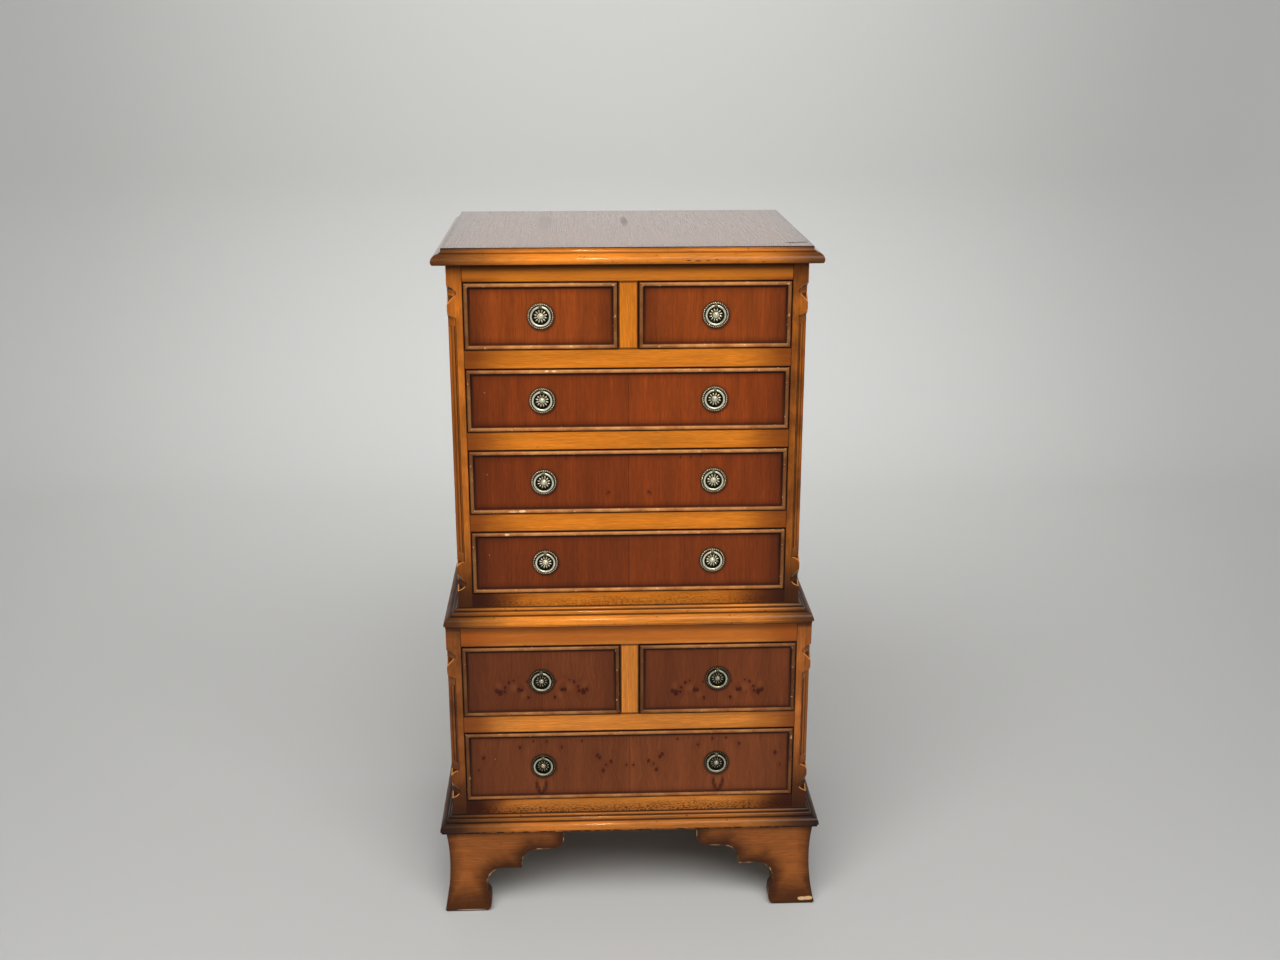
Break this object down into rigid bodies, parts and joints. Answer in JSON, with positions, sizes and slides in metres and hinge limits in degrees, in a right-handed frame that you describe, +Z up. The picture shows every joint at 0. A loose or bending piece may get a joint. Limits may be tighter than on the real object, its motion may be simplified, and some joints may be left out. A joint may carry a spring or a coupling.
{
  "type": "chest on chest",
  "caption": "Small yew chest on chest with cock-beaded sliding drawers, swinging ring pulls on rosettes, fluted canted corners, moulded waist and shaped bracket feet.",
  "frame": {"origin": "on the floor, under the middle of the overall box", "axes": "+Z up, +Y from the drawer fronts to the back, +X to the right as seen from the front"},
  "size_m": [0.544, 0.42, 0.962],
  "materials": {
    "yew_veneer": "gloss lacquer",
    "yew_moulding": "gloss lacquer",
    "yew_foot": "gloss lacquer",
    "drawer_wood": "clear sealer",
    "carcase_wood": "bare",
    "plywood": "bare",
    "antique_brass": "antiqued",
    "steel_screw": "plated"
  },
  "bodies": {
    "carcase": {"top_panel": "yew_veneer", "top_moulding": "yew_moulding", "upper_left_side": "yew_veneer", "upper_right_side": "yew_veneer", "lower_left_side": "yew_veneer", "lower_right_side": "yew_veneer", "upper_back": "plywood", "lower_back": "plywood", "upper_posts": "yew_moulding", "lower_posts": "yew_moulding", "upper_rails": "yew_moulding", "lower_rails": "yew_moulding", "upper_runners": "carcase_wood", "lower_runners": "carcase_wood", "upper_bottom": "carcase_wood", "lower_bottom": "carcase_wood", "lower_top": "carcase_wood", "waist_moulding": "yew_moulding", "base_moulding": "yew_moulding", "front_left_foot": "yew_foot", "front_right_foot": "yew_foot", "rear_feet": "yew_foot", "back_screws": "steel_screw"},
    "top_left_drawer": {"top_left_front": "yew_veneer", "top_left_box": "drawer_wood", "top_left_pulls": "antique_brass"},
    "top_left_ring": {"top_left_ring": "antique_brass"},
    "top_right_drawer": {"top_right_front": "yew_veneer", "top_right_box": "drawer_wood", "top_right_pulls": "antique_brass"},
    "top_right_ring": {"top_right_ring": "antique_brass"},
    "second_drawer": {"second_front": "yew_veneer", "second_box": "drawer_wood", "second_pulls": "antique_brass"},
    "second_left_ring": {"second_left_ring": "antique_brass"},
    "second_right_ring": {"second_right_ring": "antique_brass"},
    "third_drawer": {"third_front": "yew_veneer", "third_box": "drawer_wood", "third_pulls": "antique_brass"},
    "third_left_ring": {"third_left_ring": "antique_brass"},
    "third_right_ring": {"third_right_ring": "antique_brass"},
    "fourth_drawer": {"fourth_front": "yew_veneer", "fourth_box": "drawer_wood", "fourth_pulls": "antique_brass"},
    "fourth_left_ring": {"fourth_left_ring": "antique_brass"},
    "fourth_right_ring": {"fourth_right_ring": "antique_brass"},
    "lower_left_drawer": {"lower_left_front": "yew_veneer", "lower_left_box": "drawer_wood", "lower_left_pulls": "antique_brass"},
    "lower_left_ring": {"lower_left_ring": "antique_brass"},
    "lower_right_drawer": {"lower_right_front": "yew_veneer", "lower_right_box": "drawer_wood", "lower_right_pulls": "antique_brass"},
    "lower_right_ring": {"lower_right_ring": "antique_brass"},
    "bottom_drawer": {"bottom_front": "yew_veneer", "bottom_box": "drawer_wood", "bottom_pulls": "antique_brass"},
    "bottom_left_ring": {"bottom_left_ring": "antique_brass"},
    "bottom_right_ring": {"bottom_right_ring": "antique_brass"}
  },
  "joints": [
    {"name": "top_left_slide", "type": "slide", "parent": "carcase", "child": "top_left_drawer", "axis": [0, -1, 0], "range_m": [0, 0.24]},
    {"name": "top_left_ring_hinge", "type": "hinge", "parent": "top_left_drawer", "child": "top_left_ring", "pos_m": [-0.11525, -0.1787, 0.88425], "axis": [-1, 0, 0], "range_deg": [0, 110]},
    {"name": "top_right_slide", "type": "slide", "parent": "carcase", "child": "top_right_drawer", "axis": [0, -1, 0], "range_m": [0, 0.24]},
    {"name": "top_right_ring_hinge", "type": "hinge", "parent": "top_right_drawer", "child": "top_right_ring", "pos_m": [0.11525, -0.1787, 0.88425], "axis": [-1, 0, 0], "range_deg": [0, 110]},
    {"name": "second_slide", "type": "slide", "parent": "carcase", "child": "second_drawer", "axis": [0, -1, 0], "range_m": [0, 0.24]},
    {"name": "second_left_ring_hinge", "type": "hinge", "parent": "second_drawer", "child": "second_left_ring", "pos_m": [-0.11525, -0.1787, 0.7705], "axis": [-1, 0, 0], "range_deg": [0, 110]},
    {"name": "second_right_ring_hinge", "type": "hinge", "parent": "second_drawer", "child": "second_right_ring", "pos_m": [0.11525, -0.1787, 0.7705], "axis": [-1, 0, 0], "range_deg": [0, 110]},
    {"name": "third_slide", "type": "slide", "parent": "carcase", "child": "third_drawer", "axis": [0, -1, 0], "range_m": [0, 0.24]},
    {"name": "third_left_ring_hinge", "type": "hinge", "parent": "third_drawer", "child": "third_left_ring", "pos_m": [-0.11525, -0.1787, 0.65675], "axis": [-1, 0, 0], "range_deg": [0, 110]},
    {"name": "third_right_ring_hinge", "type": "hinge", "parent": "third_drawer", "child": "third_right_ring", "pos_m": [0.11525, -0.1787, 0.65675], "axis": [-1, 0, 0], "range_deg": [0, 110]},
    {"name": "fourth_slide", "type": "slide", "parent": "carcase", "child": "fourth_drawer", "axis": [0, -1, 0], "range_m": [0, 0.24]},
    {"name": "fourth_left_ring_hinge", "type": "hinge", "parent": "fourth_drawer", "child": "fourth_left_ring", "pos_m": [-0.11525, -0.1787, 0.54125], "axis": [-1, 0, 0], "range_deg": [0, 110]},
    {"name": "fourth_right_ring_hinge", "type": "hinge", "parent": "fourth_drawer", "child": "fourth_right_ring", "pos_m": [0.11525, -0.1787, 0.54125], "axis": [-1, 0, 0], "range_deg": [0, 110]},
    {"name": "lower_left_slide", "type": "slide", "parent": "carcase", "child": "lower_left_drawer", "axis": [0, -1, 0], "range_m": [0, 0.24]},
    {"name": "lower_left_ring_hinge", "type": "hinge", "parent": "lower_left_drawer", "child": "lower_left_ring", "pos_m": [-0.1235, -0.1962, 0.37075], "axis": [-1, 0, 0], "range_deg": [0, 110]},
    {"name": "lower_right_slide", "type": "slide", "parent": "carcase", "child": "lower_right_drawer", "axis": [0, -1, 0], "range_m": [0, 0.24]},
    {"name": "lower_right_ring_hinge", "type": "hinge", "parent": "lower_right_drawer", "child": "lower_right_ring", "pos_m": [0.1235, -0.1962, 0.37075], "axis": [-1, 0, 0], "range_deg": [0, 110]},
    {"name": "bottom_slide", "type": "slide", "parent": "carcase", "child": "bottom_drawer", "axis": [0, -1, 0], "range_m": [0, 0.24]},
    {"name": "bottom_left_ring_hinge", "type": "hinge", "parent": "bottom_drawer", "child": "bottom_left_ring", "pos_m": [-0.1235, -0.1962, 0.23925], "axis": [-1, 0, 0], "range_deg": [0, 110]},
    {"name": "bottom_right_ring_hinge", "type": "hinge", "parent": "bottom_drawer", "child": "bottom_right_ring", "pos_m": [0.1235, -0.1962, 0.23925], "axis": [-1, 0, 0], "range_deg": [0, 110]}
  ]
}
